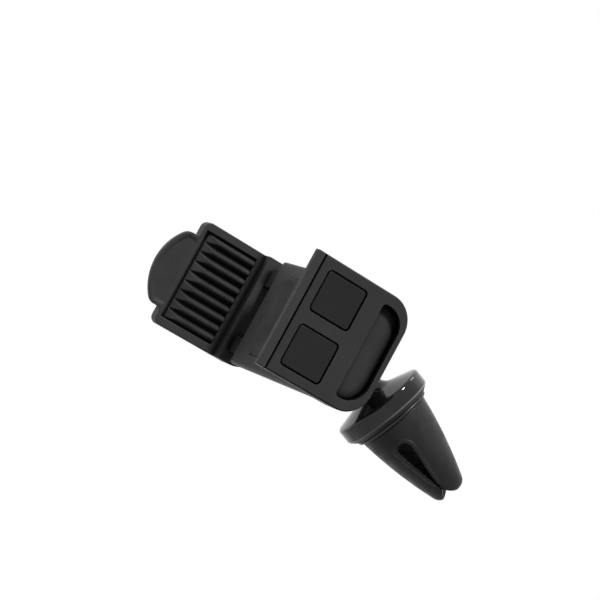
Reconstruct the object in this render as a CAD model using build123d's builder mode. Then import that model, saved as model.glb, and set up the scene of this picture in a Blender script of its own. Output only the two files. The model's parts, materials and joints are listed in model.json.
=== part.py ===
from build123d import *
import math
import os

# Clamp phone holder on a ball joint, with a rubber clip for the blade of an air vent.
# Millimetres. X runs to the right along the opening of the jaws, Y runs back, Z runs up.
# The origin is the middle of the rest pad's face, where the back of a phone lies.

LEFT = -1
RIGHT = 1

# Jaws: the grip faces are set by the opening they stand at
grip_opening = 67.0
right_grip_x = 29.5
jaw_depth = 31.8
jaw_back = 12.2
jaw_height = 31.5
jaw_wall = 3.9
jaw_corner_r = 7.2
front_corner_r = {LEFT: 2.0, RIGHT: 0.5}
outer_front_r = 0.3
guide_width = 2.0
guide_length = 1.4
rim_set = 0.4
root_inset = 3.0
root_front = 0.5
lip_width = 2.25
part_line = 0.45

# Rubber jaw pads
pad_base = 0.5
rib_height = 1.3
rib_count = 9
rib_groove = 0.24
rib_crest = 0.7
rib_ramp = 3.7
pad_front_wall = 1.3
pad_end_wall = 2.4
pad_back_gap = 1.2
pad_front_gap = 1.0
pad_mouth_bevel = 0.25
pad_fit = 0.1

# Outer covers of the jaws, with their square inlays and the thumb scoop
cover_thickness = 1.3
cover_edge_r = 0.5
inlay_width = 11.7
inlay_height = 10.7
inlay_spacing = 14.8
inlay_gap = 0.38
inlay_depth = 0.8
inlay_thickness = 0.75
inlay_corner_r = 0.9
inlay_bevel = 0.2
inlay_front_margin = 2.35
scoop_front = 3.0
scoop_rim = 1.65
scoop_end_rim = 2.9
scoop_step = 1.5
scoop_depth = 2.0
scoop_front_r = 1.0
scoop_backing = 1.6
backing_fit = 0.1
backing_front = 1.7
backing_rim = 1.0

# Finger tab on the sliding jaw
tab_radius = 15.6
tab_reach = 7.9
tab_drop = 0.3
tab_end_inset = 4.65
tab_thickness = 1.4
tab_shoulder_r = 3.0
tab_blend_r = 1.1
tab_edge_r = 0.3
tab_root = 1.2
dish_rim = 0.9
dish_edge = 0.8
dish_corner_r = 1.2
dish_depth = 0.3
dish_slope = 70.0

# Housing behind the phone
housing_left = -25.0
housing_back = 9.4
housing_step = 0.15
housing_corner_r = 7.0
front_shell_thickness = 1.8
shell_wall = 1.5
front_edge_r = 0.8
end_block_length = 6.0
end_block_cover = 2.2
rest_pad_width = 38.0
rest_pad_height = 23.0
rest_pad_thickness = 1.0
rest_pad_corner_r = 3.0
rest_pad_bevel = 0.3

# Slide frame of the moving jaw and its two springs
slide_gap = 0.15
slide_front_gap = 0.4
slide_thickness = 3.0
rail_height = 4.6
rail_side_gap = 1.6
yoke_x = 6.0
yoke_width = 2.5
ledge_height = 3.0
spring_spacing = 10.0
spring_mean_r = 1.35
spring_wire = 0.5
spring_turns = 9
spring_end_gap = 0.3
peg_length = 3.0
peg_r = 0.8

# Ball joint
pivot_y = 14.1
ball_r = 6.0
ball_fit = 0.05
liner_wall = 1.0
liner_fit = 0.05
liner_mouth = 2.0
liner_slit = 0.8
liner_slit_depth = 4.5
liner_slit_count = 4
liner_vent_r = 2.4
socket_wall = 1.6
socket_floor = 0.9
socket_tube_reach = 1.0
ring_fit = 0.05
ring_wall = 1.5
ring_lip = 1.1
ring_end_gap = 0.1
ring_mouth_r = 6.3
ring_flare = 1.0
ring_edge_r = 0.5

# Stem of the ball stud: how it stands away from straight back
stem_yaw = 19.3
stem_dip = 22.0
clip_turn = -24.3
stem_length = 17.55
neck_ball_r = 3.2
neck_r = 4.0
neck_blend_r = 3.5
collar_r = 13.05
collar_slope = 16.0
collar_wall = 4.1
collar_edge_r = 0.5
collar_bevel_in = 1.7
collar_bevel_down = 1.35
trim_ring_r = 11.0
trim_ring_height = 0.95
spigot_r = 4.0
spigot_length = 2.55
turn_gap = 0.1
turn_fit = 0.05

# Vent clip: stiff core with two prongs inside a rubber boot
boot_length = 25.0
boot_root_r = 10.1
boot_middle_r = 7.85
boot_tip_r = 4.2
boot_tip_round = 2.4
slot_start = 5.1
slot_end_r = 2.05
slot_taper_end = 18.8
slit_width = 0.5
tip_notch_half = 2.4
tip_notch_depth = 2.9
slot_rim_width = 0.9
slot_rim_height = 0.3
core_r = 8.4
core_base = 4.0
core_flange = 0.9
prong_root_u = 3.5
prong_root_thickness = 1.8
prong_tip_u = 1.35
prong_tip_thickness = 1.4
prong_tip_gap = 2.9
prong_half_width = 3.6

# Screws
screw_shank_r = 0.95
screw_head_r = 1.8
screw_head_height = 1.0
screw_clearance = 0.15
screw_socket_r = 0.8
screw_socket_depth = 0.6
post_r = 2.1
post_split = 6.4
housing_screw_length = 5.6
housing_screw_inset = 5.0
housing_screw_side_gap = 0.1
jaw_screw_length = 10.5
jaw_screw_spacing = 9.2
clip_screw_r = 1.25
clip_screw_head_r = 2.6
clip_screw_head_height = 1.5
clip_screw_grip = 6.0
clip_screw_play = 0.3

# Worked out from the sizes above
left_grip_x = right_grip_x - grip_opening
grip_x = {LEFT: left_grip_x, RIGHT: right_grip_x}
jaw_front = jaw_back - jaw_depth
tab_width = jaw_height - 2 * tab_end_inset
cover_seat = jaw_wall - cover_thickness
backing_seat = cover_seat - scoop_backing
pad_seat = pad_base + rib_height
pad_front = jaw_front + pad_front_wall
pad_back = -pad_back_gap
pad_height = jaw_height - 2 * pad_end_wall
rib_pitch = (pad_height - 2 * pad_fit) / rib_count
rib_foot = rib_pitch - rib_groove
housing_height = jaw_height - 2 * housing_step
rail_spacing = housing_height - 2 * (shell_wall + rail_side_gap) - rail_height
housing_right = right_grip_x - root_inset
shell_parting = root_front + front_shell_thickness
housing_inside = housing_back - shell_wall
slide_front = shell_parting + slide_front_gap
slide_mid_y = slide_front + slide_thickness / 2
end_block_left = housing_right - shell_wall - end_block_length
end_block_height = jaw_screw_spacing + 2 * end_block_cover
housing_screw_z = end_block_height / 2 + post_r + housing_screw_side_gap
jaw_screw_y = (shell_parting + housing_inside) / 2
housing_screws = [(housing_left + housing_screw_inset, 0),
                  (housing_right - housing_screw_inset, housing_screw_z),
                  (housing_right - housing_screw_inset, -housing_screw_z)]
pivot = Vector(0, pivot_y, 0)
liner_r = ball_r + ball_fit + liner_wall
socket_bore_r = liner_r + liner_fit
socket_tube_r = socket_bore_r + socket_wall
liner_front = pivot_y - liner_r
ring_back = pivot_y + liner_mouth + ring_end_gap + ring_lip
stem_dir = Vector(0, 1, 0).rotate(Axis.X, -stem_dip).rotate(Axis.Z, -stem_yaw)
level_dir = Vector(1, 0, 0).rotate(Axis.Z, -stem_yaw)
stem_axis = Axis(pivot, stem_dir)
blade_dir = level_dir.rotate(Axis((0, 0, 0), stem_dir), -clip_turn)
stem_section = Plane(origin=pivot, x_dir=level_dir, z_dir=level_dir.cross(stem_dir))
slot_plane = Plane(origin=pivot, x_dir=stem_dir.cross(blade_dir), z_dir=blade_dir)
wall_end = stem_length + collar_wall
collar_end = wall_end + collar_bevel_down
ring_end = collar_end + trim_ring_height
boot_start = ring_end + turn_gap
boot_end = boot_start + boot_length


def jaw_plane(side, depth):
    """Plane across a jaw, depth outward of its grip face: local X runs back, local Z runs outward."""
    return Plane(origin=(grip_x[side] + side * depth, 0, 0), x_dir=(0, 1, 0), z_dir=(side, 0, 0))


def cross_plane(x):
    """Plane across X: local X runs back, local Y runs up."""
    return Plane(origin=(x, 0, 0), x_dir=(0, 1, 0), z_dir=(1, 0, 0))


def depth_plane(y):
    """Plane across Y: local X is X, local Y runs down, local Z runs back."""
    return Plane(origin=(0, y, 0), x_dir=(1, 0, 0), z_dir=(0, 1, 0))


def stem_plane(distance):
    """Plane across the stem, at a distance from the ball's centre."""
    return Plane(origin=pivot + stem_dir * distance, x_dir=blade_dir, z_dir=stem_dir)


def side_outline(front, back, height, back_radius):
    """Draws the outline of a jaw or of the housing as seen from its end, round at the back."""
    with Locations(((front + back) / 2, 0)):
        Rectangle(back - front, height)
    fillet(vertices().group_by(Axis.X)[-1], back_radius)


def make_jaw_frame(side, screw_y, screw_z, tab):
    """Inner half of a jaw: wall, root beside the housing, front lip, pad pocket and screw seats."""
    inward = Axis((0, 0, 0), (-side, 0, 0))
    with BuildPart() as frame:
        with BuildSketch(jaw_plane(side, rim_set)):
            side_outline(jaw_front, jaw_back, jaw_height, jaw_corner_r)
        extrude(amount=jaw_wall - rim_set)
        with BuildSketch(jaw_plane(side, cover_seat)):
            with Locations((jaw_front + lip_width, 0)):
                Rectangle(jaw_depth, 2 * jaw_height, align=(Align.MIN, Align.CENTER))
        extrude(amount=jaw_wall, mode=Mode.SUBTRACT)
        fillet(frame.edges().filter_by(Axis.X).group_by(Axis.Y)[0], front_corner_r[side])
        front = frame.faces().filter_by(Axis.Y).sort_by(Axis.Y)[0]
        fillet(front.edges().filter_by(Axis.Z).sort_by(inward)[0], outer_front_r)
        if tab:
            with BuildSketch(jaw_plane(side, rim_set)):
                draw_tab()
            extrude(amount=tab_thickness)
            near_rim = frame.faces().filter_by(Axis.X).sort_by(inward)[-1].edges()
            fillet(near_rim.filter_by(lambda edge: edge.center().Y < jaw_front + tab_root), tab_edge_r)
            with BuildSketch(jaw_plane(side, rim_set)):
                draw_dish()
            extrude(amount=dish_depth, taper=dish_slope, mode=Mode.SUBTRACT)
        else:
            inner_x = grip_x[side] + side * rim_set
            with BuildSketch(Plane.XY.offset(-jaw_height)):
                Polygon((inner_x, jaw_front + guide_length), (inner_x, jaw_front - guide_length),
                        (inner_x + 2 * side * guide_width, jaw_front - guide_length), align=None)
            extrude(amount=2 * jaw_height, mode=Mode.SUBTRACT)
        with BuildSketch(jaw_plane(side, -root_inset)):
            side_outline(root_front, jaw_back, jaw_height, jaw_corner_r)
        extrude(amount=root_inset + cover_seat)
        with BuildSketch(jaw_plane(side, pad_seat)):
            with Locations(((pad_front + pad_back) / 2, 0)):
                Rectangle(pad_back - pad_front, pad_height)
        extrude(amount=-pad_seat, mode=Mode.SUBTRACT)
        with BuildSketch(jaw_plane(side, rim_set + pad_mouth_bevel)):
            with Locations(((pad_front + pad_back) / 2, 0)):
                Rectangle(pad_back - pad_front, pad_height)
        extrude(amount=-2 * pad_mouth_bevel, taper=-45, mode=Mode.SUBTRACT)
        with BuildSketch(jaw_plane(side, backing_seat)):
            side_outline(backing_front, jaw_back - backing_rim, jaw_height - 2 * backing_rim,
                         jaw_corner_r - backing_rim)
        extrude(amount=jaw_wall, mode=Mode.SUBTRACT)
        with BuildSketch(jaw_plane(side, backing_seat)):
            with Locations((screw_y, screw_z), (screw_y, -screw_z)):
                Circle(screw_head_r + screw_clearance)
        extrude(amount=-screw_head_height - screw_clearance, mode=Mode.SUBTRACT)
        with BuildSketch(jaw_plane(side, backing_seat)):
            with Locations((screw_y, screw_z), (screw_y, -screw_z)):
                Circle(screw_shank_r + screw_clearance)
        extrude(amount=-backing_seat - root_inset, mode=Mode.SUBTRACT)
    return frame


def draw_tab():
    """Draws the finger tab: a round front with rounded shoulders, blended into the jaw's front edge."""
    with Locations((jaw_front - tab_reach + tab_radius, tab_drop)):
        Circle(tab_radius)
    with Locations((jaw_front + tab_root, tab_drop)):
        Rectangle(2 * tab_radius, tab_width, align=(Align.MAX, Align.CENTER), mode=Mode.INTERSECT)
    fillet(vertices().group_by(Axis.X)[0], tab_shoulder_r)
    with Locations((jaw_front, 0)):
        Rectangle(tab_root, jaw_height - 2 * front_corner_r[LEFT], align=(Align.MIN, Align.CENTER))
    roots = [vertices().sort_by_distance((jaw_front, tab_drop + end * tab_width / 2))[0] for end in (1, -1)]
    fillet(roots, tab_blend_r)


def draw_dish():
    """Draws the dish for the finger: a rim inside the tab's outline, and clear of the pad's pocket."""
    with Locations((jaw_front - tab_reach + tab_radius, tab_drop)):
        Circle(tab_radius - dish_rim)
    with Locations((pad_front - dish_edge, tab_drop)):
        Rectangle(2 * tab_radius, tab_width - 2 * dish_rim, align=(Align.MAX, Align.CENTER),
                  mode=Mode.INTERSECT)
    fillet(vertices(), dish_corner_r)


def make_jaw_pad(side):
    """Rubber pad with ribs that run from front to back, each with a ramp at its front end."""
    start = pad_front + pad_front_gap
    end = pad_back - pad_fit
    with BuildPart() as pad:
        with BuildSketch(jaw_plane(side, rib_height)):
            with Locations(((start + end) / 2, 0)):
                Rectangle(end - start, pad_height - 2 * pad_fit)
        extrude(amount=pad_base)
        foot_x = grip_x[side] + side * (rib_height + pad_base / 2)
        shoulder_x = grip_x[side] + side * rib_height
        crest_x = grip_x[side]
        with BuildSketch(Plane(origin=(0, start, 0), x_dir=(1, 0, 0), z_dir=(0, -1, 0))):
            with GridLocations(0, rib_pitch, 1, rib_count):
                Polygon((foot_x, -rib_foot / 2), (shoulder_x, -rib_foot / 2), (crest_x, -rib_crest / 2),
                        (crest_x, rib_crest / 2), (shoulder_x, rib_foot / 2), (foot_x, rib_foot / 2),
                        align=None)
        extrude(amount=start - end)
        with BuildSketch(Plane.XY.offset(-jaw_height / 2)):
            Polygon((crest_x, start + rib_ramp), (shoulder_x, start), (crest_x, start - rib_ramp),
                    (crest_x - side * rib_height, start), align=None)
        extrude(amount=jaw_height, mode=Mode.SUBTRACT)
    return pad


def make_scoop(side):
    """Room for a thumb: straight at the front, round at its ends and back, and a little deeper there."""
    back = jaw_back - scoop_rim
    surface = grip_x[side] + side * jaw_wall
    with BuildPart() as scoop:
        with BuildSketch(jaw_plane(side, jaw_wall - 2 * scoop_depth)):
            side_outline(scoop_front, back, jaw_height - 2 * scoop_end_rim, jaw_corner_r - scoop_rim)
            fillet(vertices().group_by(Axis.X)[0], scoop_front_r)
        extrude(amount=4 * scoop_depth)
        with BuildSketch(Plane.XY.offset(-jaw_height / 2)):
            Polygon((surface - side * scoop_step, scoop_front), (surface - side * scoop_depth, back),
                    (surface + side * jaw_wall, back), (surface + side * jaw_wall, scoop_front),
                    align=None)
        extrude(amount=jaw_height, mode=Mode.INTERSECT)
    return scoop


def make_jaw_cover(side):
    """Outer plate of a jaw: two square pockets, a scoop for the thumb, and a backing behind it."""
    cover_front = jaw_front + lip_width + part_line
    outward = Axis((0, 0, 0), (side, 0, 0))
    scoop = make_scoop(side)
    with BuildPart() as cover:
        with BuildSketch(jaw_plane(side, cover_seat)):
            side_outline(cover_front, jaw_back, jaw_height, jaw_corner_r)
        extrude(amount=cover_thickness)
        fillet(cover.faces().sort_by(outward)[-1].outer_wire().edges(), cover_edge_r)
        with BuildSketch(jaw_plane(side, backing_seat + backing_fit)):
            side_outline(backing_front + backing_fit, jaw_back - backing_rim - backing_fit,
                         jaw_height - 2 * backing_rim - 2 * backing_fit,
                         jaw_corner_r - backing_rim - backing_fit)
        extrude(amount=cover_seat - backing_seat - backing_fit)
        with BuildSketch(jaw_plane(side, jaw_wall - inlay_depth)):
            with Locations((inlay_middle_y(), 0)):
                with GridLocations(0, inlay_spacing, 1, 2):
                    RectangleRounded(inlay_width + 2 * inlay_gap, inlay_height + 2 * inlay_gap,
                                     inlay_corner_r + inlay_gap)
        extrude(amount=2 * inlay_depth, mode=Mode.SUBTRACT)
        add(scoop.part, mode=Mode.SUBTRACT)
    return cover


def inlay_middle_y():
    """Middle of the inlays, set back from the front edge of the cover."""
    return jaw_front + lip_width + part_line + inlay_front_margin + inlay_gap + inlay_width / 2


def make_inlay(side, z):
    """Square inlay with a bevelled rim."""
    with BuildPart() as inlay:
        with BuildSketch(jaw_plane(side, jaw_wall - inlay_depth)):
            with Locations((inlay_middle_y(), side * z)):
                RectangleRounded(inlay_width, inlay_height, inlay_corner_r)
        extrude(amount=inlay_thickness)
        chamfer(inlay.faces().sort_by(Axis((0, 0, 0), (side, 0, 0)))[-1].edges(), inlay_bevel)
    return inlay


def make_screws(planes, length):
    """Pan head screws with a socket, each standing on its plane with the shank pointing down."""
    with BuildPart() as screws:
        for plane in planes:
            with BuildSketch(plane):
                Circle(screw_head_r)
            extrude(amount=screw_head_height)
            with BuildSketch(plane):
                Circle(screw_shank_r)
            extrude(amount=-length)
            with BuildSketch(plane.offset(screw_head_height)):
                RegularPolygon(screw_socket_r, 6)
            extrude(amount=-screw_socket_depth, mode=Mode.SUBTRACT)
    return screws


def make_spring(z):
    """Compression spring between the left wall of the housing and the yoke of the slide frame."""
    start = housing_left + shell_wall + spring_end_gap + spring_wire / 2
    height = yoke_x - spring_end_gap - spring_wire / 2 - start
    with BuildPart() as spring:
        with BuildLine():
            coil = Helix(height / spring_turns, height, spring_mean_r, center=(start, slide_mid_y, z),
                         direction=(1, 0, 0))
        with BuildSketch(Plane(origin=coil @ 0, z_dir=coil % 0)):
            Rectangle(spring_wire, spring_wire)
        sweep(path=coil, is_frenet=True)
    return spring


def draw_boot(extra):
    """Draws half of the boot's outer form, larger by extra, to be turned about the stem."""
    with BuildSketch(stem_section) as half:
        with BuildLine():
            Line((0, boot_start), (boot_root_r + extra, boot_start))
            ThreePointArc((boot_root_r + extra, boot_start),
                          (boot_middle_r + extra, boot_start + boot_length / 2),
                          (boot_tip_r + extra, boot_end))
            Line((boot_tip_r + extra, boot_end), (0, boot_end))
            Line((0, boot_end), (0, boot_start))
        make_face()
        fillet(vertices().sort_by_distance((boot_tip_r + extra, boot_end))[0], boot_tip_round)
    return half.sketch


def draw_slot(extra):
    """Draws the teardrop between the legs, wider by extra all round."""
    with BuildSketch(slot_plane) as slot:
        with Locations((0, boot_start + slot_start + slot_end_r)):
            Circle(slot_end_r + extra)
        with Locations((0, boot_start + slot_taper_end)):
            Circle(slit_width / 2 + extra)
        make_hull()
    return slot.sketch


# Jaws
left_screw_z = rail_spacing / 2
right_screw_z = jaw_screw_spacing / 2
left_jaw_frame = make_jaw_frame(LEFT, slide_mid_y, left_screw_z, tab=True)
right_jaw_frame = make_jaw_frame(RIGHT, jaw_screw_y, right_screw_z, tab=False)
left_jaw_pad = make_jaw_pad(LEFT)
right_jaw_pad = make_jaw_pad(RIGHT)
left_jaw_cover = make_jaw_cover(LEFT)
right_jaw_cover = make_jaw_cover(RIGHT)
left_upper_inlay = make_inlay(LEFT, inlay_spacing / 2)
left_lower_inlay = make_inlay(LEFT, -inlay_spacing / 2)
right_upper_inlay = make_inlay(RIGHT, inlay_spacing / 2)
right_lower_inlay = make_inlay(RIGHT, -inlay_spacing / 2)

# Screws that hold each jaw, under its cover
screw_seat = backing_seat - screw_head_height - screw_clearance


def jaw_screw_planes(side, y, z):
    """Seats of a jaw's two screws."""
    seat = jaw_plane(side, screw_seat)
    return [Plane(origin=seat.from_local_coords(Vector(y, end, 0)), x_dir=seat.x_dir, z_dir=seat.z_dir)
            for end in (z, -z)]


left_jaw_screws = make_screws(jaw_screw_planes(LEFT, slide_mid_y, left_screw_z), jaw_screw_length)
right_jaw_screws = make_screws(jaw_screw_planes(RIGHT, jaw_screw_y, right_screw_z), jaw_screw_length)

# Slide frame: two rails joined by a yoke, with a peg for each spring
slide_left = left_grip_x + root_inset
with BuildPart() as slide_frame:
    with BuildSketch(cross_plane(slide_left)):
        with Locations((slide_mid_y, 0)):
            with GridLocations(0, rail_spacing, 1, 2):
                Rectangle(slide_thickness, rail_height)
    extrude(amount=yoke_x - slide_left)
    with BuildSketch(cross_plane(yoke_x)):
        with Locations((slide_mid_y, 0)):
            Rectangle(slide_thickness, rail_spacing + rail_height)
    extrude(amount=yoke_width)
    with BuildSketch(cross_plane(yoke_x)):
        with Locations((slide_mid_y, 0)):
            with GridLocations(0, spring_spacing, 1, 2):
                Circle(peg_r)
    extrude(amount=-peg_length)
    with BuildSketch(cross_plane(slide_left)):
        with Locations((slide_mid_y, 0)):
            with GridLocations(0, rail_spacing, 1, 2):
                Circle(screw_shank_r)
    extrude(amount=jaw_screw_length - root_inset - screw_seat, mode=Mode.SUBTRACT)

upper_spring = make_spring(spring_spacing / 2)
lower_spring = make_spring(-spring_spacing / 2)

# Front shell of the housing, with the seat of the rest pad and three screw posts
housing_width = housing_right - housing_left
housing_middle = (housing_left + housing_right) / 2
with BuildPart() as front_shell:
    with BuildSketch(depth_plane(root_front)):
        with Locations((housing_middle, 0)):
            Rectangle(housing_width, housing_height)
    extrude(amount=front_shell_thickness)
    long_edges = front_shell.faces().sort_by(Axis.Y)[0].edges().filter_by(Axis.X)
    fillet(long_edges, front_edge_r)
    with BuildSketch(depth_plane(rest_pad_thickness)):
        RectangleRounded(rest_pad_width + 2 * pad_fit, rest_pad_height + 2 * pad_fit,
                         rest_pad_corner_r + pad_fit)
    extrude(amount=-rest_pad_thickness, mode=Mode.SUBTRACT)
    with BuildSketch(depth_plane(shell_parting)):
        with Locations(housing_screws):
            Circle(post_r)
    extrude(amount=post_split - shell_parting)
    with BuildSketch(depth_plane(post_split)):
        with Locations(housing_screws):
            Circle(screw_shank_r)
    extrude(amount=shell_parting - post_split, mode=Mode.SUBTRACT)

with BuildPart() as rest_pad:
    with BuildSketch(Plane.XZ):
        RectangleRounded(rest_pad_width, rest_pad_height, rest_pad_corner_r)
    extrude(amount=-rest_pad_thickness)
    chamfer(rest_pad.faces().sort_by(Axis.Y)[0].edges(), rest_pad_bevel)

# Back shell: tub, block for the fixed jaw's screws, rail ledges, spring pegs, posts and ball socket
with BuildPart() as back_shell:
    with BuildSketch(cross_plane(housing_left)):
        side_outline(shell_parting, housing_back, housing_height, housing_corner_r)
    extrude(amount=housing_width)
    with BuildSketch(cross_plane(housing_left + shell_wall)):
        side_outline(shell_parting - shell_wall, housing_inside, housing_height - 2 * shell_wall,
                     housing_corner_r - shell_wall)
    extrude(amount=housing_width - 2 * shell_wall, mode=Mode.SUBTRACT)
    with BuildSketch(cross_plane(housing_right - shell_wall)):
        with Locations(((shell_parting + housing_inside) / 2, 0)):
            Rectangle(housing_inside - shell_parting, end_block_height)
    extrude(amount=end_block_left - housing_right + shell_wall)
    with BuildSketch(cross_plane(housing_left + shell_wall)):
        ledge_front = slide_front + slide_thickness + slide_gap
        with Locations(((ledge_front + housing_inside) / 2, 0)):
            with GridLocations(0, rail_spacing - rail_height + ledge_height, 1, 2):
                Rectangle(housing_inside - ledge_front, ledge_height)
    extrude(amount=end_block_left - housing_left - shell_wall)
    with BuildSketch(cross_plane(housing_left + shell_wall)):
        with Locations((slide_mid_y, 0)):
            with GridLocations(0, spring_spacing, 1, 2):
                Circle(peg_r)
    extrude(amount=peg_length)
    with BuildSketch(depth_plane(post_split)):
        with Locations(housing_screws):
            Circle(post_r)
    extrude(amount=housing_inside - post_split)
    with BuildSketch(depth_plane(liner_front - socket_floor)):
        Circle(socket_tube_r)
    extrude(amount=pivot_y + socket_tube_reach - liner_front + socket_floor)
    with BuildSketch(depth_plane(liner_front)):
        Circle(socket_bore_r)
    extrude(amount=pivot_y, mode=Mode.SUBTRACT)
    with BuildSketch(cross_plane(housing_left)):
        with Locations((slide_mid_y, 0)):
            with GridLocations(0, rail_spacing, 1, 2):
                Rectangle(slide_thickness + 2 * slide_gap, rail_height + 2 * slide_gap)
    extrude(amount=shell_wall, mode=Mode.SUBTRACT)
    with BuildSketch(cross_plane(housing_right)):
        with Locations((jaw_screw_y, right_screw_z), (jaw_screw_y, -right_screw_z)):
            Circle(screw_shank_r)
    extrude(amount=root_inset + screw_seat - jaw_screw_length, mode=Mode.SUBTRACT)
    with BuildSketch(depth_plane(post_split)):
        with Locations(housing_screws):
            Circle(screw_shank_r + screw_clearance)
    extrude(amount=housing_back, mode=Mode.SUBTRACT)
    with BuildSketch(depth_plane(housing_inside)):
        with Locations(housing_screws):
            Circle(screw_head_r + screw_clearance)
    extrude(amount=housing_back, mode=Mode.SUBTRACT)

screw_planes = [Plane(origin=(x, housing_inside, z), x_dir=(1, 0, 0), z_dir=(0, 1, 0))
                for x, z in housing_screws]
housing_screw_set = make_screws(screw_planes, housing_screw_length)

# Ball joint: slit friction cup, ring that holds it, and the stud with its flared collar
with BuildPart() as ball_liner:
    with BuildSketch(depth_plane(liner_front)):
        Circle(liner_r)
        Circle(liner_vent_r, mode=Mode.SUBTRACT)
    extrude(amount=liner_r + liner_mouth)
    with Locations(pivot):
        Sphere(ball_r + ball_fit, mode=Mode.SUBTRACT)
    with BuildSketch(depth_plane(pivot_y + liner_mouth)):
        with PolarLocations(0, liner_slit_count):
            with Locations((liner_r, 0)):
                Rectangle(liner_r, liner_slit)
    extrude(amount=-liner_slit_depth, mode=Mode.SUBTRACT)

with BuildPart() as socket_ring:
    with BuildSketch(depth_plane(housing_back)):
        Circle(socket_tube_r + ring_fit + ring_wall)
        Circle(socket_tube_r + ring_fit, mode=Mode.SUBTRACT)
    extrude(amount=ring_back - ring_lip - housing_back)
    with BuildSketch(depth_plane(ring_back - ring_lip)):
        Circle(socket_tube_r + ring_fit + ring_wall)
        Circle(ring_mouth_r, mode=Mode.SUBTRACT)
    extrude(amount=ring_lip)
    back_face = socket_ring.faces().sort_by(Axis.Y)[-1]
    chamfer(back_face.edges().sort_by(SortBy.RADIUS)[0], ring_flare)
    fillet(socket_ring.faces().sort_by(Axis.Y)[-1].edges().sort_by(SortBy.RADIUS)[-1], ring_edge_r)

cone_start = stem_length - (collar_r - neck_r) * math.tan(math.radians(collar_slope))
neck_start = math.sqrt(ball_r ** 2 - neck_ball_r ** 2)
with BuildPart() as ball_stud:
    with BuildSketch(stem_section):
        with BuildLine():
            ThreePointArc((0, -ball_r), (ball_r, 0), (neck_ball_r, neck_start))
            Polyline((neck_ball_r, neck_start), (neck_r, cone_start), (collar_r, stem_length),
                     (collar_r, wall_end), (collar_r - collar_bevel_in, collar_end),
                     (spigot_r, collar_end), (spigot_r, collar_end + spigot_length),
                     (0, collar_end + spigot_length), (0, -ball_r))
        make_face()
        fillet(vertices().sort_by_distance((neck_r, cone_start))[0], neck_blend_r)
        fillet(vertices().sort_by_distance((collar_r, stem_length))[0], collar_edge_r)
        fillet(vertices().sort_by_distance((collar_r, wall_end))[0], collar_edge_r)
    revolve(axis=stem_axis)
    with BuildSketch(stem_plane(collar_end + spigot_length)):
        Circle(clip_screw_r)
    extrude(amount=-clip_screw_grip, mode=Mode.SUBTRACT)

with BuildPart() as trim_ring:
    with BuildSketch(stem_plane(collar_end)):
        Circle(trim_ring_r)
        Circle(spigot_r + turn_fit, mode=Mode.SUBTRACT)
    extrude(amount=trim_ring_height)

# Shoulder screw: its head lies in the core, with room to turn
flange_start = collar_end + spigot_length + turn_fit
head_start = flange_start + core_flange + turn_fit
with BuildPart() as clip_screw:
    with BuildSketch(stem_plane(head_start)):
        Circle(clip_screw_head_r)
    extrude(amount=clip_screw_head_height)
    with BuildSketch(stem_plane(head_start)):
        Circle(clip_screw_r)
    extrude(amount=collar_end + spigot_length - clip_screw_grip - head_start)
    with BuildSketch(stem_plane(head_start + clip_screw_head_height)):
        RegularPolygon(screw_socket_r, 6)
    extrude(amount=-screw_socket_depth, mode=Mode.SUBTRACT)

# Clip core: round base that turns on the stud's spigot, and two prongs
core_end = boot_start + core_base
prong_end = boot_end - prong_tip_gap
with BuildPart() as clip_core:
    with BuildSketch(stem_plane(boot_start)):
        Circle(core_r)
    extrude(amount=core_base)
    for u in (1, -1):
        with BuildSketch(slot_plane):
            Polygon((u * prong_root_u, core_end), (u * (prong_root_u + prong_root_thickness), core_end),
                    (u * (prong_tip_u + prong_tip_thickness), prong_end), (u * prong_tip_u, prong_end),
                    align=None)
        extrude(amount=prong_half_width, both=True)
    with BuildSketch(stem_plane(boot_start)):
        Circle(spigot_r + turn_fit)
    extrude(amount=flange_start - boot_start, mode=Mode.SUBTRACT)
    with BuildSketch(stem_plane(flange_start)):
        Circle(clip_screw_r + clip_screw_play)
    extrude(amount=core_flange, mode=Mode.SUBTRACT)
    with BuildSketch(stem_plane(flange_start + core_flange)):
        Circle(clip_screw_head_r + clip_screw_play)
    extrude(amount=core_base, mode=Mode.SUBTRACT)

# Rubber boot: turned form, rim round the teardrop, slot and slit between the legs, room for the core
with BuildPart() as slot_rim:
    revolve(draw_boot(slot_rim_height), axis=stem_axis)
    extrude(draw_slot(slot_rim_width), amount=2 * boot_root_r, both=True, mode=Mode.INTERSECT)

with BuildPart() as clip_boot:
    revolve(draw_boot(0), axis=stem_axis)
    add(slot_rim.part)
    extrude(draw_slot(0), amount=2 * boot_root_r, both=True, mode=Mode.SUBTRACT)
    with BuildSketch(slot_plane):
        with Locations((0, boot_start + slot_taper_end)):
            Rectangle(slit_width, boot_length, align=(Align.CENTER, Align.MIN))
        Polygon((0, boot_end - tip_notch_depth), (2 * tip_notch_half, boot_end + tip_notch_depth),
                (-2 * tip_notch_half, boot_end + tip_notch_depth), align=None)
    extrude(amount=boot_root_r, both=True, mode=Mode.SUBTRACT)
    with BuildSketch(stem_plane(boot_start)):
        Circle(core_r)
    extrude(amount=core_base, mode=Mode.SUBTRACT)
    add(clip_core.part, mode=Mode.SUBTRACT)

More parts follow.
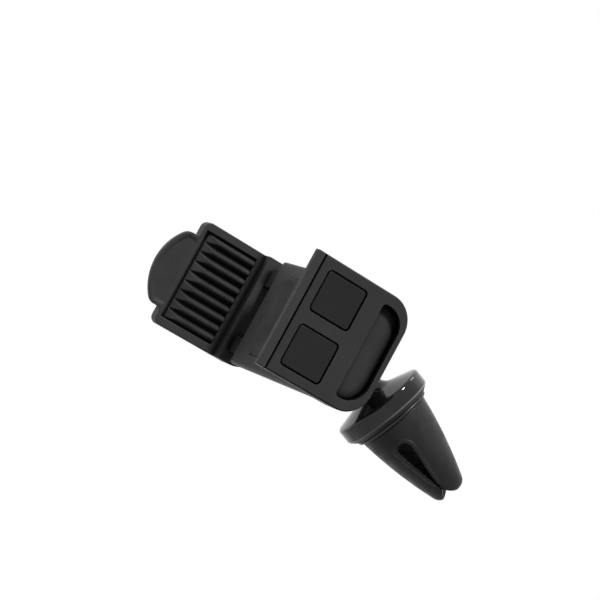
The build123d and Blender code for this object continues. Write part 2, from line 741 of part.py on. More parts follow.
pieces = {
    "left_jaw_frame": left_jaw_frame,
    "right_jaw_frame": right_jaw_frame,
    "left_jaw_pad": left_jaw_pad,
    "right_jaw_pad": right_jaw_pad,
    "left_jaw_cover": left_jaw_cover,
    "right_jaw_cover": right_jaw_cover,
    "left_upper_inlay": left_upper_inlay,
    "left_lower_inlay": left_lower_inlay,
    "right_upper_inlay": right_upper_inlay,
    "right_lower_inlay": right_lower_inlay,
    "left_jaw_screws": left_jaw_screws,
    "right_jaw_screws": right_jaw_screws,
    "slide_frame": slide_frame,
    "upper_spring": upper_spring,
    "lower_spring": lower_spring,
    "front_shell": front_shell,
    "rest_pad": rest_pad,
    "back_shell": back_shell,
    "housing_screws": housing_screw_set,
    "ball_liner": ball_liner,
    "socket_ring": socket_ring,
    "ball_stud": ball_stud,
    "trim_ring": trim_ring,
    "clip_screw": clip_screw,
    "clip_core": clip_core,
    "clip_boot": clip_boot,
}

os.makedirs("parts", exist_ok=True)
for name, piece in pieces.items():
    piece.part.label = name
    export_step(piece.part, f"parts/{name}.step")
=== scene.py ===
# %% [markdown]
# # A clamp holder for the car
#
# The holder has two padded jaws, one of which slides, and a ball joint with a rubber clip that
# holds it on the blade of an air vent. Its solids come from CAD and stay where they are. This
# lesson gives them their finishes, and makes the curved and ribbed pieces again as fine surfaces:
# the glossy ball stud, the thin trim ring, the rubber boot and the rubber pads.

# %% Load the solids
import bmesh
import bpy
import json
import math
import numpy as np
from mathutils import Matrix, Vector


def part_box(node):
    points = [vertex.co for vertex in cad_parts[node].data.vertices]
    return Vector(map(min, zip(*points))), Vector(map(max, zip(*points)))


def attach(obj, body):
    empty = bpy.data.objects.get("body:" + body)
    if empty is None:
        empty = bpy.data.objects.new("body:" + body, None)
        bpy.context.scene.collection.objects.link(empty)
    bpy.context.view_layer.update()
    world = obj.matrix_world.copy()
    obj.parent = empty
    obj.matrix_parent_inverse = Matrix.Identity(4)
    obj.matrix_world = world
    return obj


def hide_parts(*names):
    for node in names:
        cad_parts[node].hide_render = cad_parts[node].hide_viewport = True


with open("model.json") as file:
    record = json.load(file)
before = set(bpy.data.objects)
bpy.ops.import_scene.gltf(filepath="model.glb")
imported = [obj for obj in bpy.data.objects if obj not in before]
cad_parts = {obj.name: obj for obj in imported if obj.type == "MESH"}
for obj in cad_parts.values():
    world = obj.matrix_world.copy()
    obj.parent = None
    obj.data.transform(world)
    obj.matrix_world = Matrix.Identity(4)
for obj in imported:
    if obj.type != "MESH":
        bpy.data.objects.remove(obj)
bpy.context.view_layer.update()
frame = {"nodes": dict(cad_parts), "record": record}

# %% [markdown]
# ## Measures
#
# Everything in Blender is in metres, while a holder of this size is easier to think of in
# millimetres. The stem's place and direction come from the record, and the pads' places from the
# solids, so a change there carries over. The stem that leaves the ball joint leans, and three
# directions describe it: along the stem, along the slot that takes the vent blade, and across both.
# The slot is turned about the stem by an angle of its own, counted from the level.

# %% Directions of the stem
mm = 0.001
joints = {joint["name"]: joint for joint in frame["record"]["behaviour"]["joints"]}
pivot = np.array(joints["clip_spin"]["pos_m"], float)
stem = np.array(joints["clip_spin"]["axis"], float)
stem /= np.linalg.norm(stem)
clip_turn = math.radians(24.3)
sideways = np.cross(stem, (0, 0, 1))
sideways /= np.linalg.norm(sideways)
blade = math.cos(clip_turn) * sideways + math.sin(clip_turn) * np.cross(stem, sideways)
across = np.cross(stem, blade)
print("stem leaves the ball", round(math.degrees(math.acos(stem[1])), 1), "degrees off straight back")


# %% [markdown]
# ## From a grid to a piece
#
# A surface is easiest to describe as a function of two parameters. Its points then lie on a grid,
# and four neighbours make a face. One helper joins the points. A second one makes the mesh, closes
# its seams and poles and turns the faces outwards. A third one shades the piece and lets it ride on
# its body, and a fourth reads a mesh back as rows of numbers.

# %% Helpers for grid surfaces
def grid_faces(rows, columns, wrap):
    """Faces of a grid: each joins a point, the next one in its row, and the two below them.
    With wrap, the last column meets the first."""
    row, column = np.meshgrid(np.arange(rows - 1), np.arange(columns if wrap else columns - 1),
                              indexing="ij")
    after = (column + 1) % columns
    corners = [row * columns + column, row * columns + after,
               (row + 1) * columns + after, (row + 1) * columns + column]
    return np.stack(corners, axis=-1).reshape(-1, 4)


def make_piece(name, points, faces, weld=0.001 * mm):
    """Makes an object of the points and faces, welds points that coincide, and turns it outwards."""
    mesh = bpy.data.meshes.new(name)
    mesh.from_pydata(points.reshape(-1, 3).tolist(), [], faces.tolist())
    shape = bmesh.new()
    shape.from_mesh(mesh)
    bmesh.ops.remove_doubles(shape, verts=shape.verts, dist=weld)
    bmesh.ops.recalc_face_normals(shape, faces=shape.faces)
    shape.to_mesh(mesh)
    shape.free()
    piece = bpy.data.objects.new(name, mesh)
    bpy.context.scene.collection.objects.link(piece)
    return piece


def place(piece, body, nodes, sharp=35):
    """Shades a piece smoothly up to an angle, and puts it on its body in place of its solids."""
    piece.data.polygons.foreach_set("use_smooth", np.ones(len(piece.data.polygons), bool))
    piece.data.set_sharp_from_angle(angle=math.radians(sharp))
    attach(piece, body)
    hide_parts(*nodes)
    print(piece.name, "has", len(piece.data.polygons), "faces and rides on", body)


def read_vectors(items, name):
    """Vectors that a mesh keeps for its vertices or its faces, one to a row."""
    values = np.empty(3 * len(items))
    items.foreach_get(name, values)
    return values.reshape(-1, 3)


# %% [markdown]
# ## Turned pieces
#
# The stud and the ring are round about the stem, as if they came off a lathe. Such a piece is a
# profile that goes round an axis. The corners of a moulded profile are never quite sharp, so each
# one is given a radius first. That is what makes the fine bright lines on a polished edge.

# %% Helpers for turned pieces
def rounded(corners, radii, steps=8):
    """Profile through the corners. Each inner corner gives way to an arc of its radius: the arc's
    middle lies on the line that halves the corner, at the radius over the sine of half its angle."""
    corners = np.array(corners, float)
    profile = [corners[:1]]
    for before, corner, after, radius in zip(corners, corners[1:], corners[2:], radii):
        if radius == 0:
            profile.append(corner[None])
            continue
        back = (before - corner) / np.linalg.norm(before - corner)
        ahead = (after - corner) / np.linalg.norm(after - corner)
        half = math.acos(np.clip(back @ ahead, -1, 1)) / 2
        centre = corner + (back + ahead) / np.linalg.norm(back + ahead) * radius / math.sin(half)
        first = corner + back * radius / math.tan(half) - centre
        last = corner + ahead * radius / math.tan(half) - centre
        sweep = math.pi - 2 * half
        share = np.linspace(0, 1, steps + 1)[:, None]
        profile.append(centre + (first * np.sin((1 - share) * sweep)
                                 + last * np.sin(share * sweep)) / math.sin(sweep))
    profile.append(corners[-1:])
    return np.concatenate(profile)


def turned(profile, around):
    """Points of a profile carried round the stem. A point at radius r and height h lies at the
    pivot, plus h along the stem, plus r times a direction that turns from the slot's."""
    angle = np.linspace(0, 2 * math.pi, around, endpoint=False)
    ring = np.cos(angle)[:, None] * blade + np.sin(angle)[:, None] * across
    radius, height = profile[:, 0] * mm, profile[:, 1] * mm
    return pivot + height[:, None, None] * stem + radius[:, None, None] * ring


# %% [markdown]
# ## The ball stud
#
# On the real holder this is one glossy moulding: the ball that the socket grips, a slim neck, a
# flared collar with a rounded rim, and a spigot that the clip turns on. It could be modelled by
# hand with a spin. A profile in numbers is exact, and the soft radii catch the lamps as the
# polished plastic does.

# %% Ball stud
ball_r = 6.0
neck_ball_r = 3.2
neck_r = 4.0
collar_r = 13.05
collar_start = 17.55
collar_wall_end = 21.65
collar_end = 23.0
collar_inner_r = 11.35
cone_start = 14.955
spigot_r = 4.0
spigot_end = 25.55

neck_start = math.sqrt(ball_r ** 2 - neck_ball_r ** 2)
swing = np.linspace(-math.pi / 2, math.asin(neck_start / ball_r), 40)
ball = np.stack([ball_r * np.cos(swing), ball_r * np.sin(swing)], axis=1)
body_corners = [(neck_ball_r, neck_start), (neck_r, cone_start), (collar_r, collar_start),
                (collar_r, collar_wall_end), (collar_inner_r, collar_end), (spigot_r, collar_end),
                (spigot_r, spigot_end), (0, spigot_end)]
corner_radii = [3.5, 0.9, 1.0, 0.4, 0, 0.2]
body_line = rounded(body_corners, corner_radii)
stud_points = turned(np.concatenate([ball, body_line[1:]]), around=220)
ball_stud = make_piece("glossy_ball_stud", stud_points, grid_faces(*stud_points.shape[:2], True))
place(ball_stud, "stud", ["ball_stud"])


# %% [markdown]
# ## Marks on the stud
#
# A fine light line along the lower edge of the collar's wall is a painted highlight, for the light
# that this rounded edge catches; the bevel below it is duller. Both depend only on the height along
# the stem, so each point of the mesh gets a share for the highlight and one for the dull part. The
# finish reads them as attributes, which stay with the mesh when it moves.

# %% Marks on the stud
def about_stem(points):
    """Radius and height of points about the stem, in millimetres: the height is the part along the
    stem from the pivot, and the radius is the length of the rest."""
    offset = (points - pivot) / mm
    height = offset @ stem
    return np.linalg.norm(offset - height[:, None] * stem, axis=1), height


# The painted highlight line: its width, its height along the stem, and the radius inside which it
# stops.
highlight_width = 0.17
highlight_height = collar_wall_end - 0.02
highlight_inner_r = 12
dull_fade = 0.3
dull_inner_r = spigot_r + 0.5

radius, height = about_stem(read_vectors(ball_stud.data.vertices, "co"))
highlight_share = np.exp(-((height - highlight_height) / highlight_width) ** 2) * (radius > highlight_inner_r)
dull_share = np.clip((height - collar_wall_end) / dull_fade, 0, 1) * (radius > dull_inner_r)
for name, values in (("painted_rim_highlight", highlight_share), ("below_wall", dull_share)):
    ball_stud.data.attributes.new(name, "FLOAT", "POINT").data.foreach_set("value", values)
print("points on the light line:", int((highlight_share > 0.5).sum()))

# %% [markdown]
# ## The trim ring
#
# A thin metal ring lies between the collar and the rubber, in the collar's shade; its finish is
# painted dark for that shade. It is a flat washer, so its profile is a closed rectangle with rounded
# outer corners. It starts in the middle of its inner wall, where the seam can't be seen.

# %% Trim ring
trim_r = 11.0
trim_inner_r = 4.05
trim_end = 23.95
trim_round = 0.4
trim_middle = (collar_end + trim_end) / 2
trim_line = rounded(
    [(trim_inner_r, trim_middle), (trim_inner_r, collar_end), (trim_r, collar_end),
     (trim_r, trim_end), (trim_inner_r, trim_end), (trim_inner_r, trim_middle)],
    [0, trim_round, trim_round, 0])
trim_points = turned(trim_line, around=200)
trim_ring = make_piece("bright_trim_ring", trim_points, grid_faces(*trim_points.shape[:2], True))
place(trim_ring, "stud", ["trim_ring"])

# %% [markdown]
# ## The rubber boot
#
# The boot is soft rubber over a stiff core. Two legs leave a teardrop between them, with a raised
# rim, and all its edges are soft. Its form is cut from a turned body by the slot, which a single
# grid can't describe. So the solid's own surface is copied, welded and rebuilt from small cubes of
# space, then smoothed, which rounds each edge a little as a mould does, and thinned where it is
# flat. The cubes are small enough to keep the slit between the legs open.
#
# The walls of the slot are duller than the outside. A face counts as a wall if it lies clearly
# nearer to the stem than the widest part of the boot at the same height.

# %% Rubber boot
boot_voxel = 0.2
boot_smoothing = 5
boot_faces_kept = 0.84
boot_weld = 0.002
wall_depth = 1.2


def welded_copy(node, name):
    """Copy of a solid's mesh whose loose triangles are joined at their corners."""
    piece = bpy.data.objects.new(name, frame["nodes"][node].data.copy())
    piece.data.name = name
    bpy.context.scene.collection.objects.link(piece)
    shape = bmesh.new()
    shape.from_mesh(piece.data)
    bmesh.ops.remove_doubles(shape, verts=shape.verts, dist=boot_weld * mm)
    shape.to_mesh(piece.data)
    shape.free()
    return piece


def bake_modifiers(piece):
    """Puts the result of a piece's modifiers into its mesh."""
    seen = piece.evaluated_get(bpy.context.evaluated_depsgraph_get())
    finished = bpy.data.meshes.new_from_object(seen)
    piece.modifiers.clear()
    piece.data = finished


boot = welded_copy("clip_boot", "rubber_boot")
remesh = boot.modifiers.new("rebuild", "REMESH")
remesh.mode = "VOXEL"
remesh.voxel_size = boot_voxel * mm
smooth = boot.modifiers.new("soften", "SMOOTH")
smooth.iterations = boot_smoothing
smooth.factor = 0.5
thin = boot.modifiers.new("thin", "DECIMATE")
thin.ratio = boot_faces_kept
bake_modifiers(boot)
boot.data.materials.clear()
place(boot, "vent_clip", ["clip_boot"], sharp=180)

radius, height = about_stem(read_vectors(boot.data.polygons, "center"))
layer = np.floor(height).astype(int)
widest = np.zeros(layer.max() + 1)
np.maximum.at(widest, layer, radius)
inside = radius < np.interp(height, np.arange(len(widest)) + 0.5, widest) - wall_depth
boot.data.polygons.foreach_set("material_index", inside.astype(np.int32))
print("faces inside the boot:", int(inside.sum()))


# %% [markdown]
# ## The jaw pads
#
# Each jaw holds a rubber pad with nine ribs that run from the front of the jaw to its back. A rib
# rises from its foot to a narrow crest, and its front end is cut by a slope, so it looks broad
# there. The pad is a height over a flat grid: the lowest of three heights, the side of the rib,
# the slope at its end and the crest, blended so that every edge is soft.

# %% Jaw pads
rib_count, points_per_rib = 9, 26
rib_height = 1.3
rib_crest = 0.7
rib_groove = 0.24
ramp_length = 3.7
ramp_blend, crest_blend = 0.16, 0.14
edge_drop, edge_width = 0.12, 0.25


def soft_low(a, b, blend):
    """The lower of two heights, with the corner between them rounded over the blend."""
    near = np.clip(0.5 + 0.5 * (b - a) / blend, 0, 1)
    return b + (a - b) * near - blend * near * (1 - near)


def ribbed_pad(node, side, name, body):
    """Surface of a ribbed pad. The grid's parameters are the way back and the way up, and the third
    direction is the height over the pad's base, with walls and a flat back that close it."""
    low, high = (np.array(corner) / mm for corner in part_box(node))
    pitch = (high[2] - low[2]) / rib_count
    foot = pitch - rib_groove
    back = np.concatenate([np.linspace(0, ramp_length, 40),
                           np.linspace(ramp_length, high[1] - low[1], 60)[1:]])
    up = np.linspace(0, high[2] - low[2], rib_count * points_per_rib + 1)
    way, rise = np.meshgrid(back, up, indexing="ij")
    off_middle = np.abs((rise % pitch) - pitch / 2)
    flank = rib_height * (foot / 2 - off_middle) / (foot / 2 - rib_crest / 2)
    height = soft_low(np.maximum(flank, 0), way * rib_height / ramp_length, ramp_blend)
    height = soft_low(height, np.full_like(height, rib_height), crest_blend)
    height = np.clip(height, 0, rib_height)
    edge = np.minimum.reduce([way, way[::-1], rise, rise[:, ::-1]])
    height -= edge_drop * np.clip(1 - edge / edge_width, 0, 1) ** 2
    grip = high[0] if side < 0 else low[0]
    base = low[0] if side < 0 else high[0]
    top = np.stack([grip + side * (rib_height - height), low[1] + way, low[2] + rise], axis=-1)
    skirt = np.pad(top, ((1, 1), (1, 1), (0, 0)), mode="edge")
    skirt[[0, -1], :, 0] = base
    skirt[:, [0, -1], 0] = base
    rows, columns = skirt.shape[:2]
    rim = np.concatenate([skirt[0], skirt[1:, -1], skirt[-1, -2::-1], skirt[-2:0:-1, 0]])
    middle = rim.mean(axis=0)
    count, start = len(rim), rows * columns
    closing = np.stack([start + np.arange(count), start + (np.arange(count) + 1) % count,
                        np.full(count, start + count)], axis=1)
    points = np.concatenate([skirt.reshape(-1, 3), rim, middle[None]]) * mm
    faces = grid_faces(rows, columns, False).tolist() + closing.tolist()
    pad = make_piece(name, points, np.array(faces, dtype=object))
    place(pad, body, [node], sharp=50)
    return pad


left_pad = ribbed_pad("left_jaw_pad", -1, "left_ribbed_pad", "left_jaw")
right_pad = ribbed_pad("right_jaw_pad", 1, "right_ribbed_pad", "cradle")


# %% [markdown]
# ## The rest pad
#
# A thin rubber pad lies on the housing between the jaws. It is a plate with round corners and a
# softened rim, and shallow channels run across it for grip. One parameter goes round the outline
# and the other from the middle to the rim. The channels are a dip in its face.

# %% Rest pad
def outline_of_plate(width, height, corner, around):
    """Outline of a rectangle with round corners. A point on the inner rectangle, moved out by the
    corner's radius in the direction it faces; equal steps of angle walk round it."""
    angle = np.linspace(0, 2 * math.pi, around, endpoint=False)
    x, z = np.cos(angle), np.sin(angle)
    reach = np.minimum(width / 2 / np.maximum(np.abs(x), 1e-9),
                       height / 2 / np.maximum(np.abs(z), 1e-9))
    x, z = x * reach, z * reach
    inner_x, inner_z = width / 2 - corner, height / 2 - corner
    over_x, over_z = np.abs(x) - inner_x, np.abs(z) - inner_z
    in_corner = (over_x > 0) & (over_z > 0)
    length = np.where(in_corner, np.hypot(over_x, over_z), 1)
    x = np.where(in_corner, np.sign(x) * (inner_x + over_x / length * corner), x)
    z = np.where(in_corner, np.sign(z) * (inner_z + over_z / length * corner), z)
    return np.stack([x, z], axis=1)


plate_corner = 3.0
rim_round = 0.35
channel_depth, channel_pitch = 0.22, 3.2
channel_margin, channel_fade = 1.2, 0.8

low, high = (np.array(corner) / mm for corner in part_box("rest_pad"))
plate_middle = (low + high) / 2
outline = outline_of_plate(high[0] - low[0], high[2] - low[2], plate_corner, 480)
shares = np.concatenate([np.linspace(0, 0.9, 60), np.linspace(0.9, 1, 16)[1:]])
flat = shares[:, None, None] * outline
to_rim = (1 - shares) * min(high[0] - low[0], high[2] - low[2]) / 2
dip = rim_round * (1 - np.sqrt(1 - np.clip(1 - to_rim / rim_round, 0, 1) ** 2))
channel = channel_depth * np.clip(np.cos(2 * math.pi * flat[..., 0] / channel_pitch) * 3 - 2, 0, 1)
channel *= np.clip((to_rim[:, None] - channel_margin) / channel_fade, 0, 1)
depth = dip[:, None] + channel
face = np.stack([plate_middle[0] + flat[..., 0], low[1] + depth,
                 plate_middle[2] + flat[..., 1]], axis=-1)
wall = face[-1:].copy()
wall[..., 1] = high[1]
back_middle = wall.copy()
back_middle[..., [0, 2]] = plate_middle[[0, 2]]
plate = np.concatenate([face, wall, back_middle]) * mm
rest_pad = make_piece("rubber_rest_pad", plate, grid_faces(*plate.shape[:2], True))
place(rest_pad, "cradle", ["rest_pad"], sharp=40)


# %% [markdown]
# ## Finishes
#
# Moulded plastic is never one flat colour. The mould leaves a fine grain, the colour clouds a
# little, polish varies, and handled edges turn lighter; the lighter edges are also a painted
# highlight, for the light that a rounded edge catches. Crevices are darkened as painted shade. One
# function builds all of these from noise on the piece's own coordinates, so that the finishes
# differ only in their numbers. The bevel node gives each sharp edge of a solid the small radius
# that a mould leaves, and the occlusion node tells how deep a point lies in a crevice.

# %% A function for moulded finishes
cloud_scale = 160
polish_scale = 420


def feed(links, socket, value):
    """Gives a socket a value: another node's output, a number, or a colour."""
    if isinstance(value, bpy.types.NodeSocket):
        links.new(value, socket)
    else:
        socket.default_value = value


def add_noise(nodes, links, coords, scale, detail):
    """Noise with features about 1 / scale metres wide, on the piece's own coordinates."""
    noise = nodes.new("ShaderNodeTexNoise")
    noise.inputs["Scale"].default_value = scale
    noise.inputs["Detail"].default_value = detail
    links.new(coords.outputs["Object"], noise.inputs["Vector"])
    return noise.outputs["Fac"]


def add_range(nodes, links, value, low, high, start=0.3, end=0.7):
    """Spreads a value between start and end over the numbers from low to high."""
    spread = nodes.new("ShaderNodeMapRange")
    links.new(value, spread.inputs["Value"])
    for name, number in (("From Min", start), ("From Max", end), ("To Min", low), ("To Max", high)):
        spread.inputs[name].default_value = number
    return spread.outputs["Result"]


def add_mix(nodes, links, first, second, share):
    """Colour between two others, by a share from 0 for the first one to 1 for the second."""
    mix = nodes.new("ShaderNodeMix")
    mix.data_type = "RGBA"
    feed(links, mix.inputs["A"], first)
    feed(links, mix.inputs["B"], second)
    links.new(share, mix.inputs["Factor"])
    return mix.outputs["Result"]


def add_maths(nodes, links, operation, first, second):
    """Result of an operation on two values."""
    maths = nodes.new("ShaderNodeMath")
    maths.operation = operation
    feed(links, maths.inputs[0], first)
    feed(links, maths.inputs[1], second)
    return maths.outputs["Value"]


def moulded(name, colour, rough, grain_size, grain_depth, cloud=0.12, rough_spread=0.05, wear_and_highlight=0.25,
            edge=0.15, crevice=0.3, crevice_size=3.0, crevice_open=0.95, metallic=0.0, specular=0.5):
    """Finish of a moulded or metal piece; its lengths are in millimetres. The colour clouds by the
    share given. Edges get lighter by wear_and_highlight, where the bevelled normal leaves the face's:
    partly wear and partly a painted highlight. In crevices about as deep as the size given, the colour
    falls to the given share as painted shade: it starts to fall where the open part of the view is
    less than crevice_open, and ends 0.4 below that."""
    finish = bpy.data.materials.new(name)
    finish.use_nodes = True
    nodes, links = finish.node_tree.nodes, finish.node_tree.links
    shader = nodes["Principled BSDF"]
    coords = nodes.new("ShaderNodeTexCoord")

    dark = [c * (1 - cloud) for c in colour] + [1]
    light = [c * (1 + cloud) for c in colour] + [1]
    # The rubbed colour lightens the edges, partly as wear and partly as a painted highlight.
    rubbed_and_lit = [min(c * (1 + 4 * wear_and_highlight) + 0.02 * wear_and_highlight, 1) for c in colour] + [1]
    clouds = add_range(nodes, links, add_noise(nodes, links, coords, cloud_scale, 4), 0, 1)
    tone = add_mix(nodes, links, dark, light, clouds)

    soft = nodes.new("ShaderNodeBevel")
    soft.samples = 6
    soft.inputs["Radius"].default_value = edge * mm
    face = nodes.new("ShaderNodeNewGeometry")
    turn = nodes.new("ShaderNodeVectorMath")
    turn.operation = "DOT_PRODUCT"
    links.new(soft.outputs["Normal"], turn.inputs[0])
    links.new(face.outputs["Normal"], turn.inputs[1])
    on_edge = add_range(nodes, links, turn.outputs["Value"], 1, 0, 0.8, 0.98)
    worn_and_lit = add_mix(nodes, links, tone, rubbed_and_lit, on_edge)

    # Painted shade: the occlusion darkens the colour in crevices, where shade falls.
    hollow = nodes.new("ShaderNodeAmbientOcclusion")
    hollow.samples = 16
    hollow.inputs["Distance"].default_value = crevice_size * mm
    openness = add_range(nodes, links, hollow.outputs["AO"], crevice, 1,
                         crevice_open - 0.4, crevice_open)
    shaded = add_mix(nodes, links, (0, 0, 0, 1), worn_and_lit, openness)
    links.new(shaded, shader.inputs["Base Color"])

    polish = add_noise(nodes, links, coords, polish_scale, 3)
    links.new(add_range(nodes, links, polish, max(rough - rough_spread, 0.02), rough + rough_spread),
              shader.inputs["Roughness"])
    bump = nodes.new("ShaderNodeBump")
    bump.inputs["Strength"].default_value = 1.0
    bump.inputs["Distance"].default_value = grain_depth * mm
    links.new(add_noise(nodes, links, coords, 1 / (grain_size * mm), 3), bump.inputs["Height"])
    links.new(soft.outputs["Normal"], bump.inputs["Normal"])
    links.new(bump.outputs["Normal"], shader.inputs["Normal"])
    shader.inputs["Metallic"].default_value = metallic
    shader.inputs["Specular IOR Level"].default_value = specular
    return finish


# %% [markdown]
# ## One finish for each slot
#
# The jaws and their covers are satin charcoal, and the inlays are darker. The rubber is matte, the
# stud is polished, and the screws and springs are plated. All around the holder is white, which
# every surface mirrors a little, so the matte finishes mirror less than a new plastic would, or
# they would look grey. Each finish belongs to a material slot of the record, so a solid gets it by
# the slot that it names. The boot has a second finish for the walls of its slot.

# %% Finishes
# The crevice numbers set how dark each finish's painted shade is in its crevices, such as the scoop's
# upper end on the cover and the valleys between the pads' ribs.
finishes = {
    "jaw_plastic": moulded("jaw_plastic", (0.038, 0.038, 0.0385), 0.50, 0.22, 0.012, cloud=0.08,
                           crevice=0.1, specular=0.12),
    "cover_plastic": moulded("cover_plastic", (0.040, 0.040, 0.0405), 0.50, 0.22, 0.010, cloud=0.05,
                             crevice=0.0, crevice_size=3.5, crevice_open=0.93, specular=0.02),
    "inlay_plastic": moulded("inlay_plastic", (0.016, 0.016, 0.0165), 0.46, 0.18, 0.008, cloud=0.05,
                             wear_and_highlight=0.4, crevice=0.1, specular=0.1),
    "pad_rubber": moulded("pad_rubber", (0.031, 0.031, 0.0315), 0.60, 0.16, 0.014, cloud=0.3,
                          wear_and_highlight=0.4, crevice=0.03, crevice_size=2.5, specular=0.1),
    "housing_plastic": moulded("housing_plastic", (0.030, 0.030, 0.0305), 0.50, 0.24, 0.012,
                               specular=0.2),
    "slide_plastic": moulded("slide_plastic", (0.026, 0.026, 0.0265), 0.38, 0.3, 0.004, specular=0.25),
    "liner_plastic": moulded("liner_plastic", (0.04, 0.04, 0.041), 0.42, 0.3, 0.004, specular=0.25),
    "gloss_black": moulded("gloss_black", (0.007, 0.007, 0.0072), 0.07, 1.5, 0.003, crevice=1.0,
                           rough_spread=0.02, wear_and_highlight=0.05, specular=0.3),
    # The trim's dark metal is painted shade: the ring lies in the collar's shade.
    "trim": moulded("trim", (0.035, 0.035, 0.036), 0.42, 0.8, 0.002, cloud=0.05, wear_and_highlight=0.5,
                    edge=0.1, metallic=1.0),
    "core_plastic": moulded("core_plastic", (0.04, 0.04, 0.041), 0.42, 0.3, 0.006, specular=0.25),
    "boot_rubber": moulded("boot_rubber", (0.0135, 0.0137, 0.0139), 0.44, 0.2, 0.010, cloud=0.25,
                           rough_spread=0.12, wear_and_highlight=0.6, edge=0.35, crevice=0.02, crevice_size=8.0,
                           specular=0.15),
    "boot_inside": moulded("boot_inside", (0.025, 0.025, 0.0253), 0.8, 0.2, 0.010, wear_and_highlight=0.0,
                           crevice=1.0, specular=0.03),
    "steel": moulded("steel", (0.55, 0.55, 0.56), 0.25, 0.4, 0.003, cloud=0.05, wear_and_highlight=0.1,
                     metallic=1.0),
}
own_pieces = {"gloss_black": [ball_stud], "trim": [trim_ring], "boot_rubber": [boot],
              "pad_rubber": [left_pad, right_pad, rest_pad]}
for part in frame["record"]["subparts"]:
    solid = frame["nodes"][part["node"]]
    for entry in solid.material_slots:
        entry.material = finishes[part["material_slot"]]
for slot, pieces in own_pieces.items():
    for piece in pieces:
        piece.data.materials.append(finishes[slot])
boot.data.materials.append(finishes["boot_inside"])


# %% [markdown]
# ## The collar's underside
#
# The stud's finish reads the two shares that its points carry. The dull part takes a colour like
# the rubber's and loses its polish, and the painted highlight line lies over both.

# %% Marks in the stud's finish
def share_of(nodes, attribute):
    """The share that an attribute of the mesh gives."""
    mark = nodes.new("ShaderNodeAttribute")
    mark.attribute_name = attribute
    return mark.outputs["Fac"]


nodes, links = finishes["gloss_black"].node_tree.nodes, finishes["gloss_black"].node_tree.links
shader = nodes["Principled BSDF"]
base = shader.inputs["Base Color"]
# The rim line's tone of 0.15 is a painted highlight.
for attribute, tone in (("below_wall", 0.016), ("painted_rim_highlight", 0.15)):
    marked = add_mix(nodes, links, base.links[0].from_socket, (tone, tone, tone, 1),
                     share_of(nodes, attribute))
    links.new(marked, base)
dull = share_of(nodes, "below_wall")
links.new(add_range(nodes, links, dull, 0.3, 0.1, 0, 1), shader.inputs["Specular IOR Level"])
rough = shader.inputs["Roughness"]
links.new(add_maths(nodes, links, "MAXIMUM", rough.links[0].from_socket,
                    add_range(nodes, links, dull, 0, 0.55, 0, 1)), rough)
print("finishes:", ", ".join(finishes))

# %% [markdown]
# ## Floor and background
#
# The picture is a plain studio shot on white. A wide pale floor lies well below the holder, and
# takes its soft shadow. The white comes from what the camera and the reflections see of the
# surroundings, never from more light on the holder: the light path tells a ray of the camera or of
# a reflection from the diffuse light that reaches a surface, and only the first two see full white.

# %% Studio
floor_height = -0.11
floor_half = 4.0
floor_tone, floor_bounce, floor_glow = 0.35, 0.10, 0.5
ambient_light = 0.16
white = (1, 1, 1, 1)

square = np.array([[-1, -1, 0], [1, -1, 0], [1, 1, 0], [-1, 1, 0]])
floor_mesh = bpy.data.meshes.new("floor")
floor_mesh.from_pydata((square * floor_half + (0, 0, floor_height)).tolist(), [], [(0, 1, 2, 3)])
floor = bpy.data.objects.new("floor", floor_mesh)
bpy.context.scene.collection.objects.link(floor)


def seen_directly(nodes, links):
    """The light path node, and 1 for a ray of the camera or of a reflection, else 0."""
    path = nodes.new("ShaderNodeLightPath")
    return path, add_maths(nodes, links, "MAXIMUM",
                           path.outputs["Is Camera Ray"], path.outputs["Is Glossy Ray"])


pale = bpy.data.materials.new("pale_floor")
pale.use_nodes = True
nodes, links = pale.node_tree.nodes, pale.node_tree.links
path, direct = seen_directly(nodes, links)
diffuse = nodes["Principled BSDF"]
diffuse.inputs["Roughness"].default_value = 0.9
diffuse.inputs["Specular IOR Level"].default_value = 0.1
links.new(add_range(nodes, links, path.outputs["Is Diffuse Ray"], floor_tone, floor_bounce, 0, 1),
          diffuse.inputs["Base Color"])
glow = nodes.new("ShaderNodeEmission")
glow.inputs["Color"].default_value = white
links.new(add_maths(nodes, links, "MULTIPLY", direct, floor_glow), glow.inputs["Strength"])
both = nodes.new("ShaderNodeAddShader")
links.new(diffuse.outputs["BSDF"], both.inputs[0])
links.new(glow.outputs["Emission"], both.inputs[1])
links.new(both.outputs["Shader"], nodes["Material Output"].inputs["Surface"])
floor.data.materials.append(pale)

world = bpy.data.worlds.new("studio")
bpy.context.scene.world = world
world.use_nodes = True
nodes, links = world.node_tree.nodes, world.node_tree.links
path, direct = seen_directly(nodes, links)
through = add_maths(nodes, links, "MAXIMUM", direct, path.outputs["Is Transmission Ray"])
surround = nodes["Background"]
surround.inputs["Color"].default_value = white
links.new(add_range(nodes, links, through, ambient_light, 1.0, 0, 1), surround.inputs["Strength"])
print("floor at", round(floor_height / mm), "mm")

# %% [markdown]
# ## Camera
#
# The camera stands low on the right and a little in front, with a long lens, and is turned about
# its own axis so that the holder leans. Its place and its three directions are given as numbers,
# because they were worked out together to match the picture.

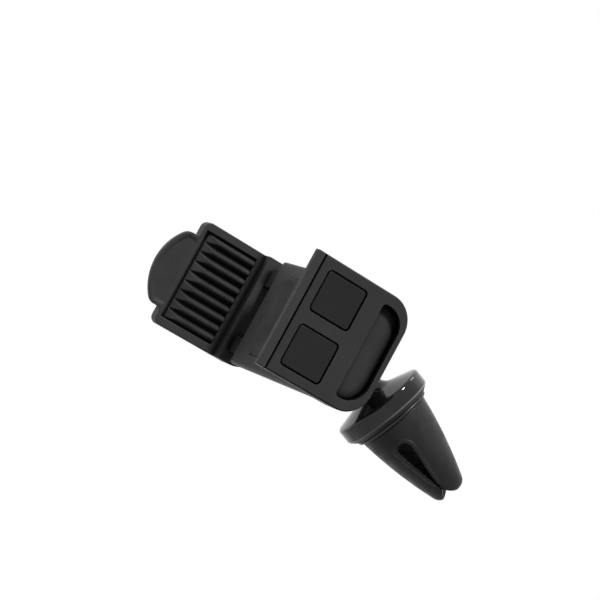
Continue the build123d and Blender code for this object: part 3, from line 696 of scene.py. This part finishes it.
# %% Camera
lens, sensor = 116.93, 36
eye = np.array([0.45512, -0.21763, -0.04066])
right = np.array([0.41645, 0.77470, 0.47582])
upward = np.array([-0.13142, -0.46657, 0.87466])
towards = np.cross(right, upward)


def set_frame(thing, place_at, side, top, out):
    """Puts an object at a point, with its own three axes along the given directions."""
    matrix = np.eye(4)
    matrix[:3, 0], matrix[:3, 1], matrix[:3, 2], matrix[:3, 3] = side, top, out, place_at
    thing.matrix_world = Matrix(matrix.tolist())


camera = bpy.data.objects.new("camera", bpy.data.cameras.new("camera"))
camera.data.lens = lens
camera.data.sensor_width = sensor
camera.data.sensor_fit = "HORIZONTAL"
camera.data.clip_start = 0.01
bpy.context.scene.collection.objects.link(camera)
set_frame(camera, eye, right, upward, towards)
bpy.context.scene.camera = camera


# %% [markdown]
# ## Lamps
#
# All lamps are far away, so the light is even over the whole holder and the floor. The key lamp
# stands high on the right. It lights the jaw's cover at a slant, which throws the shadow at the
# upper end of the scoop, and leaves the first highlight on the collar. The top lamp leaves the
# second one. The front lamp, large and soft, fills the jaws from the front, and a faint back lamp
# keeps the back of the housing readable. A wide lamp has soft shadows, and a narrow one crisp ones.

# %% Lamps
def add_lamp(name, from_side, level, spread):
    """Far lamp that shines from the given direction. Its level is the brightness of a white surface
    that faces it, and its spread is the angle that it fills, which softens its shadows."""
    out = np.array(from_side, float)
    out /= np.linalg.norm(out)
    side = np.cross((0, 0, 1), out)
    side /= np.linalg.norm(side)
    lamp = bpy.data.objects.new(name, bpy.data.lights.new(name, "SUN"))
    lamp.data.energy = level * math.pi
    lamp.data.angle = math.radians(spread)
    bpy.context.scene.collection.objects.link(lamp)
    set_frame(lamp, 0.5 * out, side, np.cross(out, side), out)
    print(name, "stands", round(math.degrees(math.asin(out[2]))), "degrees above the floor")


add_lamp("key_lamp", (0.53, 0.0, 0.85), 1.45, 10)
add_lamp("front_lamp", (-0.35, -0.90, 0.30), 0.55, 40)
add_lamp("back_lamp", (-0.40, 0.60, 0.70), 0.07, 60)
add_lamp("top_lamp", (-0.18, 0.21, 0.96), 0.25, 20)

bpy.context.scene.view_settings.view_transform = "Standard"
